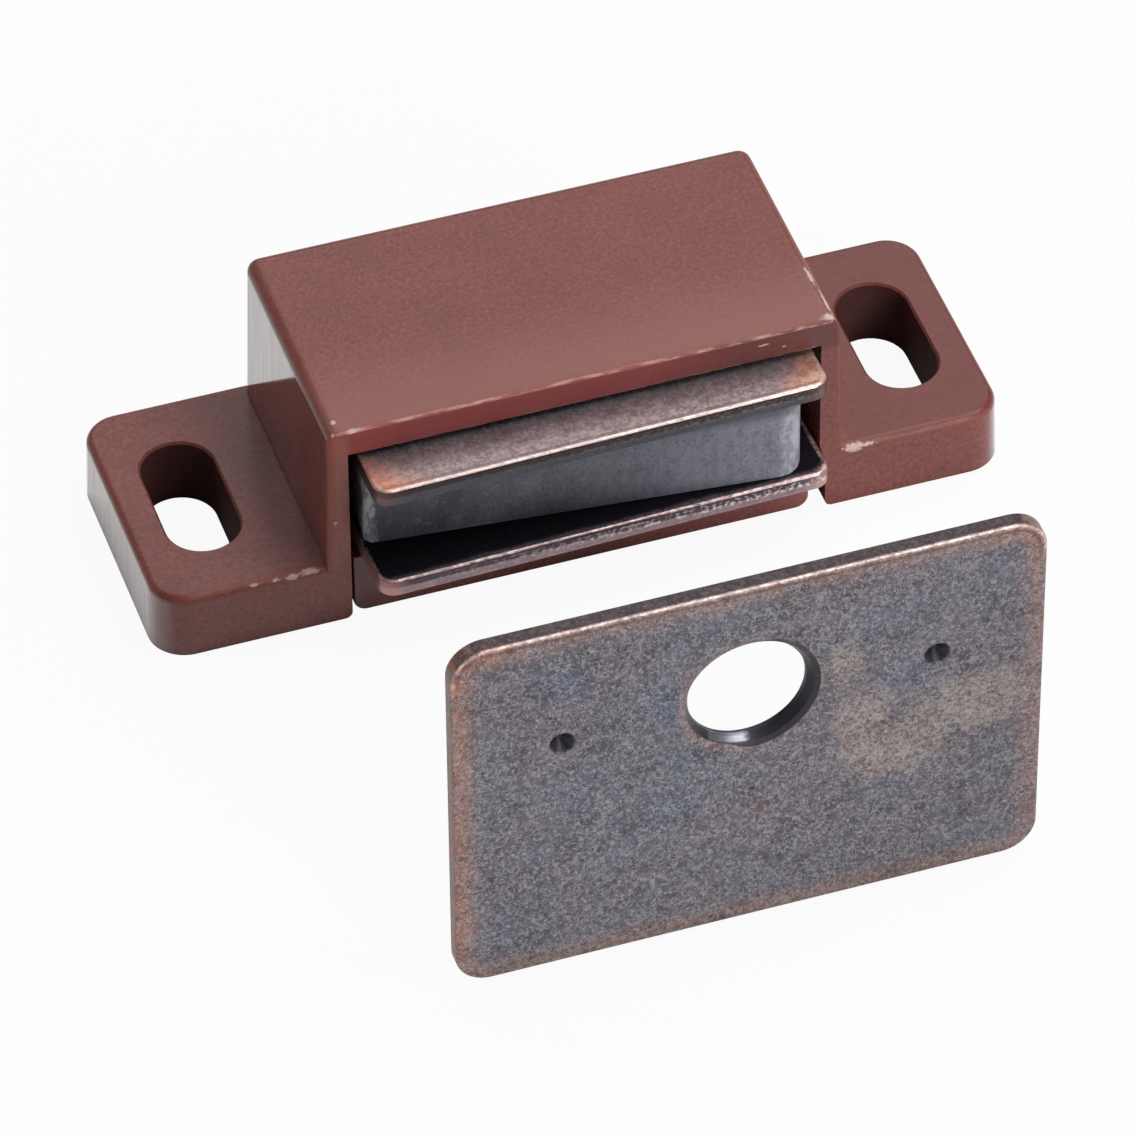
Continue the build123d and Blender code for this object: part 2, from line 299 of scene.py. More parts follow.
def dressCase(name, look, ownLook):
    finish, spot, colour, grain, sheen = brownPlastic("casePlastic", look)
    x, y, z = finish.parts(spot)
    edge, top, inward = edgeOfCase(finish, x, y, z, moulding)
    front = y - caseLow.y
    onFront = finish.fall(front, ownLook["skin"])
    onTop = finish.fall(top, ownLook["skin"])
    marks, along, streaks = [finish.cloud(spot, ownLook[key]) for key in ("marks", "along", "streaks")]

    # painted light: a warm orange-brown glow along the rounded edges and at the front-left top corner
    edgeLook, cornerLook = ownLook["warmEdge"], ownLook["warmCorner"]
    warm = finish.fall(edge + sheen.sway(edgeLook["sway"]), edgeLook["band"])
    corner = finish.patch(spot, cornerLook["centre"], cornerLook["reach"]) + sheen.sway(cornerLook["sway"])
    corner = finish.fall(corner, cornerLook["band"]) * cornerLook["share"]
    colour = finish.blend((warm * edgeLook["share"]).most(corner), colour, edgeLook["tone"])

    # painted light: the top paler towards its front edge
    rubAndLight = ownLook["litFrontOfTop"]
    colour = finish.lay(onTop * finish.fall(front, rubAndLight["behind"]) * finish.rise(z, rubAndLight["above"]), rubAndLight, colour)
    # painted shade: the lintel's front redder, most to the left, and darker towards the right
    lintel, shade = ownLook["lintel"], ownLook["lintelShade"]
    onLintel = onFront * finish.rise(z, lintel["above"])
    reddened = onLintel * finish.fall(x, lintel["across"]).within(lintel["shares"])
    colour = finish.blend(reddened, colour, lintel["tone"])
    colour = finish.lay(onLintel * finish.rise(x, shade["across"]), shade, colour)
    # painted shade: the top of the right ear darker
    shadedRightEar = ownLook["shadedRightEar"]
    colour = finish.lay(finish.rise(x, shadedRightEar["across"]) * onTop, shadedRightEar, colour)

    brinkWearAndHighlight, lipHighlight, knockAndHighlight = ownLook["brinkWearAndHighlight"], ownLook["lipHighlight"], ownLook["knockAndHighlight"]
    # painted highlight and wear along the upper front edge
    onBrink = finish.fall(front.most(top) + marks.sway(brinkWearAndHighlight["sway"]), brinkWearAndHighlight["band"])
    colour = finish.lay(onBrink * finish.rise(along, brinkWearAndHighlight["along"]), brinkWearAndHighlight, colour)
    # painted highlight along the edge over the mouth, in the pale tone of the knocks
    onLip = abs(z - moulding["mouthTop"] - lipHighlight["up"]).most(front) + marks.sway(lipHighlight["sway"])
    onLip = finish.fall(onLip, lipHighlight["band"]) * finish.fall(abs(x), lipHighlight["across"])
    onLip = onLip * finish.rise(along, lipHighlight["along"])
    knocksAndHighlight = onLip * lipHighlight["share"]
    for centre, reach in knocks:
        mark = finish.patch(spot, centre, reach) + marks.sway(knockAndHighlight["sway"])
        knocksAndHighlight = knocksAndHighlight.most(finish.fall(mark, knockAndHighlight["band"]))
    colour = finish.lay(knocksAndHighlight, knockAndHighlight, colour)

    wall, earEnd, litJamb, slot = [ownLook[key] for key in ("wall", "earEnd", "litJamb", "slotShade")]
    # painted shade: the side walls of the body redder, standing in for weaker sheen on them
    body = moulding["bodyHalf"] - z * moulding["draft"]
    onWall = finish.fall(abs(abs(x) - body), wall["skin"]) * finish.rise(z, wall["above"])
    onWall = onWall * finish.rise(top, wall["below"]) * finish.rise(front, wall["behind"])
    colour = finish.lay(onWall, wall, colour)
    # painted highlight: the front of the left jamb lighter and warmer
    onJamb = onFront * finish.fall(x, litJamb["across"]) * finish.rise(x, litJamb["edge"])
    colour = finish.lay(onJamb, litJamb, colour)
    # painted shade deep in the screw slots
    inSlot = finish.rise(inward, slot["inward"]) * finish.fall(z, slot["below"])
    colour = finish.lay(inSlot, slot, colour)

    polish = ownLook["polish"]
    onEnd = finish.fall(caseHigh.x - abs(x), earEnd["inward"]) * finish.rise(top, earEnd["below"])
    polished = onWall.most(onEnd * earEnd["share"])
    coat = polished * finish.rise(streaks, polish["band"]).within(polish["shares"])
    rough = knocksAndHighlight * knockAndHighlight["rough"] - polished * polish["smooth"]
    rough = rough + warm * edgeLook["rough"] + inSlot * slot["rough"]
    setPlastic(finish, look, colour, grain, sheen, rough, coat)
    finish.wear(name)


coverLook = {
    "litCover": {"tone": browns["light"], "share": 0.3},
    "leftShade": {"tone": browns["dark"], "across": (-15.5, -13.0), "share": 0.6},
}


def dressCover(name, look, ownLook):
    finish, spot, colour, grain, sheen = brownPlastic("coverPlastic", look)
    # painted light over the whole cover, and painted shade at its left end
    litCover, shade = ownLook["litCover"], ownLook["leftShade"]
    colour = finish.blend(litCover["share"], colour, litCover["tone"])
    colour = finish.lay(finish.fall(finish.parts(spot)[0], shade["across"]), shade, colour)
    setPlastic(finish, look, colour, grain, sheen)
    finish.wear(name)


dressCase("case", plasticLook, caseLook)
dressCover("base_cover", plasticLook, coverLook)
print("plastic done")


soot = tint(50, 49, 55)

steelLook = {  # steel plated in antique copper
    "slate": tint(102, 105, 115),
    "violet": tint(109, 101, 107),
    "violetBand": (0.36, 0.64),
    "sootyPatch": {"tone": soot, "band": (0.45, 0.7), "share": 0.5},
    "sootySpeck": {"tone": soot, "mix": 0.6, "band": (0.46, 0.62), "share": 0.62},
    "fibre": tint(196, 190, 196),
    "fibreAlong": {"size": 0.6, "swirl": 1.0},
    "fibreAcross": {"size": 0.48, "detail": 2.0, "crisp": 0.5, "swirl": 2.0, "stretch": (1.4, 1.0, 0.7)},
    "fibreWidth": (0.0, 0.06),
    "fibrePatches": (0.42, 0.58),
    "fibreShare": 0.5,
    "fibreDepth": 0.004,
    "dentMix": 0.6,  # share of the scratches in the dents
    "speck": {"mix": 0.7, "band": (0.34, 0.46), "share": 0.5},
    "metallic": 0.7,
    "polished": 0.95,
    "roughness": 0.42,
    "roughnessSway": 0.24,
    "polishSmooth": 0.1,
    "dullRough": 0.2,
}

steelNoises = [  # from the broadest to the finest
    {"size": 4.5, "detail": 4.0, "crisp": 0.6},
    {"size": 1.4, "detail": 4.0, "crisp": 0.6},
    {"size": 0.6, "detail": 4.0, "crisp": 0.7},
    {"size": 0.24, "detail": 2.0, "crisp": 0.75},
]


def tarnish(finish, spot, look, ground, middle, fine, grit):
    # soot in specks over the ground colour, under a felt of short fine scratches
    patch, sooty, speck = look["sootyPatch"], look["sootySpeck"], look["speck"]
    colour = finish.lay(finish.rise(middle, patch["band"]), patch, ground)
    colour = finish.lay(finish.rise(finish.mixed(grit, fine, sooty["mix"]), sooty["band"]), sooty, colour)
    first, second = [abs(finish.cloud(spot, look[key]) - 0.5) for key in ("fibreAlong", "fibreAcross")]
    fibres = finish.fall(first.least(second), look["fibreWidth"]) * finish.rise(fine, look["fibrePatches"])
    specks = finish.fall(finish.mixed(grit, fine, speck["mix"]), speck["band"])
    colour = finish.blend((fibres * look["fibreShare"]).most(specks * speck["share"]), colour, look["fibre"])
    return colour, fibres


def setSteel(finish, look, colour, fibres, grit, polish, dull=0.0):
    rough = grit.sway(look["roughnessSway"]) - polish * look["polishSmooth"] + dull * look["dullRough"]
    finish.set({
        "Base Color": colour,
        "Metallic": (polish + dull).within((look["metallic"], look["polished"])),
        "Roughness": rough + look["roughness"],
        "Normal": finish.dents(finish.mixed(fibres, grit, look["dentMix"]), look["fibreDepth"]),
    })


upperLook = {
    "rubAndLight": tint(216, 190, 188),
    "rubBand": (0.92, 4.6),  # how far back from the front edge it is rubbed
    "rubShare": 0.8,
    "shade": {"tone": tint(66, 68, 78), "behind": (3.0, 4.6), "share": 0.1},
    "dull": 0.0,
    "copper": tint(234, 142, 94),
    "paleCopper": tint(236, 158, 120),  # at the right corner
    "copperBand": (0.25, 3.6),
    "copperSwell": 0.8,  # further again at the right corner
    "cream": tint(242, 204, 180),
    "line": tint(214, 190, 184),
    "bead": tint(242, 220, 210),
    "lineShare": 0.95,
    "groove": {"tone": tint(132, 88, 84), "share": 0.5},  # the red-brown line behind the bright one
    "frontTop": tint(64, 56, 56),
    "front": tint(88, 86, 92),
    "fleck": tint(170, 148, 140),
    "fleckShare": 0.3,
    "frontCopper": 0.15,
    "sole": {"tone": tint(214, 190, 184), "share": 0.0},
}

lowerLook = {
    "rubAndLight": tint(150, 116, 112),
    "rubBand": (0.12, 0.6),
    "rubShare": 0.25,
    "shade": {"tone": tint(30, 27, 35), "behind": (0.2, 0.7), "share": 0.96},
    "dull": 1.0,
    "copper": tint(206, 150, 134),
    "paleCopper": tint(220, 178, 166),
    "copperBand": (0.25, 0.9),
    "copperSwell": 0.0,
    "cream": tint(236, 206, 198),
    "line": tint(198, 158, 156),
    "bead": tint(240, 214, 210),
    "lineShare": 0.85,
    "groove": {"tone": tint(132, 88, 84), "share": 0.0},
    "frontTop": tint(82, 68, 74),
    "front": tint(162, 138, 143),
    "fleck": tint(240, 224, 224),
    "fleckShare": 0.85,
    "frontCopper": 0.8,
    "sole": {"tone": tint(198, 158, 156), "share": 0.3},
}

poleWear = {  # what the wear of both pole plates has in common
    "cornerRadius": 1.1,
    "along": {"size": 0.7, "crisp": 0.6, "stretch": (1.0, 3.0, 3.0)},
    "speckle": {"mix": 0.5, "band": (0.38, 0.62)},
    "ragged": {"fine": 1.6, "broad": 2.2},
    "rubAndLight": {"shares": (0.15, 0.95), "polish": 0.2},
    "shadeSway": 0.3,
    "rightReach": 5.0,  # how far in from the right edge the right corner counts
    "corner": {"depthShare": 0.8, "shrink": 0.75, "sway": 0.55, "shares": (0.4, 1.0)},
    "paler": {"slant": 3.0, "across": (0.0, 12.0)},
    "creamNoise": {"size": 0.45, "crisp": 0.7},
    "cream": {"band": (0.46, 0.56), "shares": (0.4, 0.75)},
    "topSkin": (0.09, 0.14),  # the top's finish ends this far down
    "frontSkin": (0.1, 0.15),  # and the cut edge's begins
    "darkerTopOfFront": {"sway": 0.4, "below": (0.5, 0.7)},  # darker above this
    "frontSootShare": 0.35,
    "ends": {"sway": 0.4, "band": (0.6, 2.2), "shares": (0.4, 0.8)},
    "fleckNoise": {"size": 0.3, "detail": 2.0, "crisp": 0.6},
    "fleck": {"band": (0.47, 0.57), "across": (-17.0, 10.0), "sway": 0.6},
    "fleckRows": [(0.66, 0.26, 1.0), (0.36, 0.16, 0.6)],  # depth below the top, reach and share of each
    "sole": {"sway": 0.2, "band": (0.08, 0.2), "along": (0.4, 0.6)},
    "groove": {"in": 0.42, "sway": 0.2, "band": (0.04, 0.16)},
    "line": {"along": (0.34, 0.48), "sway": 0.16, "wider": 0.15, "band": (0.14, 0.26),
             "behind": (0.5, 1.2), "shares": (0.65, 1.0), "beadShares": (0.8, 1.0)},
    "beadNoise": {"size": 0.5, "detail": 4.0, "crisp": 0.7},
    "bead": (0.4, 0.65),
}


def frontOfPole(finish, spot, ownLook, wear, copper, noises, measures):
    # the cut edge of a plate: dark above, with rows of pale flecks
    fine, grit, along, speckle, ragged = noises
    across, fromSide, below, above = measures
    darkBand, ends, fleck, sole = [wear[key] for key in ("darkerTopOfFront", "ends", "fleck", "sole")]
    colour = finish.blend(finish.rise(below + fine.sway(darkBand["sway"]), darkBand["below"]),
                          ownLook["frontTop"], ownLook["front"])
    colour = finish.blend(speckle * wear["frontSootShare"], colour, soot)
    atEnds = finish.fall(fromSide + ragged * ends["sway"], ends["band"]) * speckle.within(ends["shares"])
    colour = finish.blend(atEnds * ownLook["frontCopper"], colour, copper)
    flecks = finish.cloud(spot, wear["fleckNoise"])
    flecks = finish.rise(flecks, fleck["band"]) * finish.rise(across, fleck["across"])
    for depth, reach, share in wear["fleckRows"]:
        row = finish.fall(abs(below - depth + fine.sway(fleck["sway"])), (0.0, reach)) * share
        colour = finish.blend(flecks * row * ownLook["fleckShare"], colour, ownLook["fleck"])
    onSole = finish.fall(above + grit.sway(sole["sway"]), sole["band"]) * finish.rise(along, sole["along"])
    return finish.lay(onSole, ownLook["sole"], colour)


def polePlate(name, hinge, look, ownLook, wear):
    # rubbed pale along its front edge, with bare copper at its front corners
    finish = Finish(name + "Steel")
    centre = Vector(joints[hinge]["pos_m"]) * mmPerMetre
    skew = -joints[hinge]["range_deg"][0]  # the joint squares the plate up
    turn = Quaternion((0, 0, 1), radians(-skew))
    corners = [turn @ (vertex.co * mmPerMetre - centre) for vertex in nodes[name].data.vertices]
    front = centre.y + min(corner.y for corner in corners)
    halfWidth = max(corner.x for corner in corners)
    top = centre.z + max(corner.z for corner in corners)
    bottom = centre.z + min(corner.z for corner in corners)
    halfDepth = (max(corner.y for corner in corners) - min(corner.y for corner in corners)) / 2
    spot = finish.place()
    x, y, z = finish.parts(finish.turned(spot, centre, -skew))
    across = x - centre.x
    fromFront = y - front
    fromSide = halfWidth - abs(across)
    fromEdge = finish.inFrom(across, fromFront - halfDepth, (halfWidth, halfDepth), wear["cornerRadius"])
    below = top - z
    broad, middle, fine, grit = [finish.cloud(spot, noise) for noise in steelNoises]
    speckle = finish.rise(finish.mixed(grit, fine, wear["speckle"]["mix"]), wear["speckle"]["band"])
    ragged = fine.sway(wear["ragged"]["fine"]) + broad.sway(wear["ragged"]["broad"])
    along = finish.cloud(spot, wear["along"])

    ground = finish.blend(finish.rise(broad, look["violetBand"]), look["slate"], look["violet"])
    colour, fibres = tarnish(finish, spot, look, ground, middle, fine, grit)
    shaded = finish.rise(fromFront + ragged * wear["shadeSway"], ownLook["shade"]["behind"])
    colour = finish.lay(shaded, ownLook["shade"], colour)
    rubbed = finish.fall(fromFront + ragged, ownLook["rubBand"])
    rubAndLight = rubbed * speckle.within(wear["rubAndLight"]["shares"]) * ownLook["rubShare"]
    colour = finish.blend(rubAndLight, colour, ownLook["rubAndLight"])

    cornerLook, paler, creamLook = wear["corner"], wear["paler"], wear["cream"]
    atRight = finish.rise(across, (halfWidth - wear["rightReach"], halfWidth))
    corner = fromFront * cornerLook["depthShare"] + fromSide - atRight * ownLook["copperSwell"]
    corner = finish.fall(corner * cornerLook["shrink"] + ragged * cornerLook["sway"], ownLook["copperBand"])
    cream = corner * finish.rise(finish.cloud(spot, wear["creamNoise"]), creamLook["band"])
    copper = finish.blend(finish.rise(across - fromFront * paler["slant"], paler["across"]),
                          ownLook["copper"], ownLook["paleCopper"])
    colour = finish.blend(corner * speckle.within(cornerLook["shares"]), colour, copper)
    colour = finish.blend(cream * atRight.within(creamLook["shares"]), colour, ownLook["cream"])

    frontColour = frontOfPole(finish, spot, ownLook, wear, copper,
                              (fine, grit, along, speckle, ragged), (across, fromSide, below, z - bottom))
    colour = finish.blend(finish.rise(below, wear["frontSkin"]), colour, frontColour)

    onTop = finish.fall(below, wear["topSkin"])
    groove, lineLook = wear["groove"], wear["line"]
    inGroove = finish.fall(abs(fromFront - groove["in"] + grit.sway(groove["sway"])), groove["band"]) * onTop
    colour = finish.lay(inGroove, ownLook["groove"], colour)
    # a bright line along the front edge: worn, and partly a painted highlight
    line = finish.fall(fromEdge + grit.sway(lineLook["sway"]) - atRight * lineLook["wider"], lineLook["band"])
    line = line * (finish.rise(along, lineLook["along"]) * ownLook["lineShare"]) * onTop
    line = line * finish.fall(fromFront, lineLook["behind"]).within(lineLook["shares"])
    beads = finish.rise(finish.cloud(spot, wear["beadNoise"]), wear["bead"])
    lineColour = finish.blend(beads, ownLook["line"], ownLook["bead"])
    colour = finish.blend(line * beads.within(lineLook["beadShares"]), colour, lineColour)
    polish = rubbed * wear["rubAndLight"]["polish"]
    setSteel(finish, look, colour, fibres, grit, polish, shaded * onTop * ownLook["dull"])
    finish.wear(name)


polePlate("upper_pole_plate", "upper_rock", steelLook, upperLook, poleWear)
polePlate("lower_pole_plate", "lower_rock", steelLook, lowerLook, poleWear)
print("pole plates done")


strikeLow, strikeHigh = boxInMm("strike_plate")
strikeMiddle = (strikeLow + strikeHigh) / 2
strikeHalf = (strikeHigh - strikeLow) / 2
hole = Vector(mounts["strike_screw_hole"]["pos_m"]) * mmPerMetre
shaft = (1, 1000, 1)  # a patch with this reach measures how far it is to a line along Y


def onStrike(across, up):  # a point on the outer face
    return Vector((strikeMiddle.x + across, strikeLow.y, up))


strikeLook = {
    "cornerRadius": 2.3,
    "skin": (0.06, 0.12),  # how far in the outer face's finish runs
    "along": {"size": 0.8, "crisp": 0.6, "stretch": (1.0, 3.0, 1.0)},
    "speckle": {"mix": 0.55, "band": (0.42, 0.58)},
    "ragged": {"fine": 1.4, "broad": 1.6},
    "patchSway": {"ragged": 0.6, "middle": 0.8},
    "khaki": {"tone": tint(142, 127, 118), "band": (0.4, 1.3), "share": 0.8, "patches": [  # middle and reach
        (onStrike(6.2, 19.9), (1.3, 3.0, 2.0)),
        (onStrike(7.3, 15.3), (2.2, 3.0, 2.4)),
        (onStrike(9.8, 12.2), (4.2, 3.0, 2.6)),
        (onStrike(14.4, 14.0), (5.2, 3.0, 2.7)),
    ]},
    "blue": {"tone": tint(84, 98, 126), "band": (0.1, 1.3), "share": 0.4, "patches": [
        (onStrike(-5.7, 20.8), (1.5, 3.0, 2.0)),
        (onStrike(-4.1, 15.2), (1.5, 3.0, 0.9)),
        (onStrike(-5.1, 11.2), (2.4, 3.0, 1.4)),
        (onStrike(-11.6, 23.7), (2.6, 3.0, 1.5)),
        (onStrike(10.2, 17.4), (2.4, 3.0, 2.6)),
        (onStrike(4.6, 16.2), (0.9, 3.0, 0.7)),
    ]},
    "rust": {"tone": tint(124, 82, 70), "band": (0.4, 1.0), "share": 0.5, "patches": [
        (onStrike(6.3, 13.1), (0.6, 3.0, 0.9)),
        (onStrike(7.5, 9.9), (1.0, 3.0, 0.6)),
        (onStrike(0.8, 9.4), (0.9, 3.0, 0.4)),
    ]},
    "rim": {"tone": tint(150, 120, 112), "sway": 0.8, "band": (0.2, 2.2), "share": 0.9},
    "upperRim": {"below": (0.8, 2.6), "slant": 3, "across": (-16.0, -2.0), "share": 0.6},
    "copper": {"tone": tint(176, 116, 90), "sway": 0.4, "band": (0.4, 2.0), "share": 0.8},
    "leftCorner": {"sway": 2.0, "band": (2.0, 6.0)},
    "rightCorner": {"sway": 2.0, "band": (1.5, 5.0), "share": 0.6},
    "leftRim": {"sway": 0.5, "band": (0.4, 1.9), "share": 0.5},
    "ring": {"radius": 4.4, "sway": 0.12, "band": (0.05, 0.4), "shares": (0.15, 0.5)},
    "sand": {"tone": tint(180, 167, 162), "mix": 0.5, "band": (0.44, 0.52), "share": 0.4},
    "darkerToRight": {"tone": soot, "slant": 0.3, "across": (0.0, 16.0), "share": 0.1},
    "seat": {"band": (4.14, 4.2), "slant": 0.2, "across": (-1.0, 1.5), "wider": 0.38, "share": 0.75},
    "seatShade": {"slant": 0.7, "across": (1.5, 3.5), "share": 0.2},
    "pit": {"across": 12.1, "up": 18.9, "sway": 0.3, "band": (0.72, 0.9), "depth": (0.75, 0.95),
            "share": 0.95},
    "glint": {"tone": tint(158, 160, 170), "from": (-2.8, -2.3), "to": (-0.3, 0.2), "below": (2.0, 1.5),
              "depth": (0.22, 0.3), "floor": (0.8, 0.92), "band": (0.4, 0.55), "shares": (0.6, 1.0)},
    "glintNoise": {"size": 0.5, "detail": 2.0, "crisp": 0.5, "stretch": (0.3, 4.0, 0.3)},
    "side": {"tone": tint(118, 90, 82), "depth": (0.06, 0.16), "inward": (0.2, 0.3), "share": 0.7},
    "edge": {"tone": tint(60, 56, 61), "depth": (0.1, 0.16), "below": (0.1, 0.2), "shares": (0.75, 0.95)},
    "lineBelow": (2.0, 3.5),  # the bright line fades this far under the top edge
    "groove": {"tone": tint(98, 70, 66), "in": 0.46, "sway": 0.2, "band": (0.04, 0.16), "share": 0.55},
    "line": {"tone": tint(196, 172, 166), "sway": 0.24, "band": (0.18, 0.3), "along": (0.36, 0.54),
             "shares": (0.15, 0.65), "beadShare": 0.3},
    "bead": {"tone": tint(226, 206, 198), "band": (0.42, 0.6)},
    "beadNoise": {"size": 0.4, "detail": 2.0, "crisp": 0.6},
}


def stain(finish, spot, layer, ragged, colour):  # patches of one tone
    nearest = 9.0  # further than any patch reaches
    for centre, reach in layer["patches"]:
        nearest = finish.patch(spot, centre, reach).least(nearest)
    mask = finish.fall(nearest + ragged[0] + ragged[1], layer["band"])
    return mask, finish.lay(mask, layer, colour)


def seatOfScrew(finish, ownLook, colour, fine, spot, depth, fromHole):
    # the dark seat, with painted shade on its right, and the dark pits, with a painted glint low in the seat
    # where the steel is also made smoother
    x, y, z = finish.parts(spot)
    seat, shade, pitLook, glintLook = [ownLook[key] for key in ("seat", "seatShade", "pit", "glint")]
    fromMiddle = x - hole.x
    wider = finish.rise(fromMiddle - (z - hole.z) * seat["slant"], seat["across"]) * seat["wider"]
    inside = finish.fall(fromHole - wider, seat["band"])
    mirrored = finish.node("ShaderNodeCombineXYZ", {}, {0: abs(x - strikeMiddle.x), 1: y, 2: z})
    fromPit = finish.patch(mirrored, Vector((pitLook["across"], 0, pitLook["up"])), shaft)
    pit = finish.fall(fromPit + fine.sway(pitLook["sway"]), pitLook["band"])
    shaded = finish.rise(fromMiddle - (z - hole.z) * shade["slant"], shade["across"]) * shade["share"]
    pit = pit * finish.fall(depth, pitLook["depth"])  # and not the prong behind it
    dark = (inside * (shaded + seat["share"])).most(pit * pitLook["share"])
    colour = finish.blend(dark, colour, soot)
    # painted glint low in the seat
    streak = finish.cloud(spot, ownLook["glintNoise"])
    glint = finish.rise(fromMiddle + (fine - 0.5), glintLook["from"])
    glint = glint * finish.fall(fromMiddle + (fine - 0.5), glintLook["to"])
    under = [hole.z - height for height in glintLook["below"]]
    glint = glint * finish.fall(z, under) * finish.rise(depth, glintLook["depth"])
    glint = inside * glint * finish.fall(depth, glintLook["floor"])
    glint = glint * finish.rise(streak, glintLook["band"]).within(glintLook["shares"])
    return glint, finish.blend(glint, colour, glintLook["tone"])


def dressStrike(name, look, ownLook):
    finish = Finish("strikeSteel")
    spot = finish.place()
    x, y, z = finish.parts(spot)
    across = x - strikeMiddle.x
    depth = y - strikeLow.y
    fromEnd = strikeHalf.x - abs(across)
    fromTop = strikeHigh.z - z
    fromRim = finish.inFrom(across, z - strikeMiddle.z, (strikeHalf.x, strikeHalf.z), ownLook["cornerRadius"])
    fromHole = finish.patch(spot, Vector((hole.x, 0, hole.z)), shaft)
    broad, middle, fine, grit = [finish.cloud(spot, noise) for noise in steelNoises]
    speckle = finish.rise(finish.mixed(grit, fine, ownLook["speckle"]["mix"]), ownLook["speckle"]["band"])
    ragged = fine.sway(ownLook["ragged"]["fine"]) + broad.sway(ownLook["ragged"]["broad"])
    along = finish.cloud(spot, ownLook["along"])

    colour = finish.blend(finish.rise(broad, look["violetBand"]), look["slate"], look["violet"])
    sway = ownLook["patchSway"]
    patchy = (ragged * sway["ragged"], middle.sway(sway["middle"]))
    khaki, colour = stain(finish, spot, ownLook["khaki"], patchy, colour)
    for key in ("blue", "rust"):
        colour = stain(finish, spot, ownLook[key], patchy, colour)[1]

    rimLook, upper, copper, ringLook = [ownLook[key] for key in ("rim", "upperRim", "copper", "ring")]
    leftCorner, rightCorner, leftRim = [ownLook[key] for key in ("leftCorner", "rightCorner", "leftRim")]
    upperBand = finish.fall(fromTop + ragged, upper["below"])
    upperBand = upperBand * finish.fall(across + ragged * upper["slant"], upper["across"])
    rim = finish.fall(fromRim + ragged * rimLook["sway"], rimLook["band"]).most(upperBand * upper["share"])
    colour = finish.lay(rim, rimLook, colour)
    left = finish.away(spot, onStrike(-strikeHalf.x, strikeHigh.z)) + ragged * leftCorner["sway"]
    left = finish.fall(left, leftCorner["band"])
    right = finish.away(spot, onStrike(strikeHalf.x, strikeHigh.z)) + ragged * rightCorner["sway"]
    right = finish.fall(right, rightCorner["band"]) * rightCorner["share"]
    bare = finish.fall(fromRim + ragged * copper["sway"], copper["band"])
    leftBand = finish.fall(across + strikeHalf.x + ragged * leftRim["sway"], leftRim["band"])
    colour = finish.lay(bare * left.most(leftBand * leftRim["share"]).most(right), copper, colour)
    ring = finish.fall(abs(fromHole - ringLook["radius"]) + ragged * ringLook["sway"], ringLook["band"])
    colour = finish.blend(ring * speckle.within(ringLook["shares"]), colour, copper["tone"])

    colour, fibres = tarnish(finish, spot, look, colour, middle, fine, grit)
    sand, darkerToRight = ownLook["sand"], ownLook["darkerToRight"]
    sandy = khaki * finish.fall(finish.mixed(grit, fine, sand["mix"]), sand["band"])
    colour = finish.lay(sandy, sand, colour)
    # darker towards the right
    colour = finish.lay(finish.rise(across - z * darkerToRight["slant"], darkerToRight["across"]), darkerToRight, colour)
    glint, colour = seatOfScrew(finish, ownLook, colour, fine, spot, depth, fromHole)

    side, edge, groove, lineLook, bead = [ownLook[key] for key in ("side", "edge", "groove", "line", "bead")]
    sideFace = finish.rise(depth, side["depth"]) * finish.fall(fromEnd, side["inward"])
    colour = finish.lay(sideFace, side, colour)
    # painted shade: the top edge face dark
    edgeFace = finish.rise(depth, edge["depth"]) * finish.fall(fromTop, edge["below"])
    colour = finish.blend(edgeFace * speckle.within(edge["shares"]), colour, edge["tone"])
    outer = finish.fall(depth, ownLook["skin"]) * finish.fall(fromTop, ownLook["lineBelow"])
    inGroove = finish.fall(abs(fromRim - groove["in"] + grit.sway(groove["sway"])), groove["band"]) * outer
    colour = finish.lay(inGroove, groove, colour)
    beads = finish.rise(finish.cloud(spot, ownLook["beadNoise"]), bead["band"])
    line = finish.fall(fromRim + grit.sway(lineLook["sway"]), lineLook["band"]) * outer
    worn = finish.rise(along, lineLook["along"]).within(lineLook["shares"])
    line = line * (worn + beads * lineLook["beadShare"])
    colour = finish.blend(line, colour, finish.blend(beads, lineLook["tone"], bead["tone"]))
    setSteel(finish, look, colour, fibres, grit, glint)
    finish.wear(name)


dressStrike("strike_plate", steelLook, strikeLook)
print("strike plate done")


greys = {
    "litToRight": tint(138, 139, 152),
    "dark": tint(76, 75, 85),
    "chalkAndHighlight": tint(184, 186, 192),
    "grimeAndShadow": tint(46, 41, 42),
}

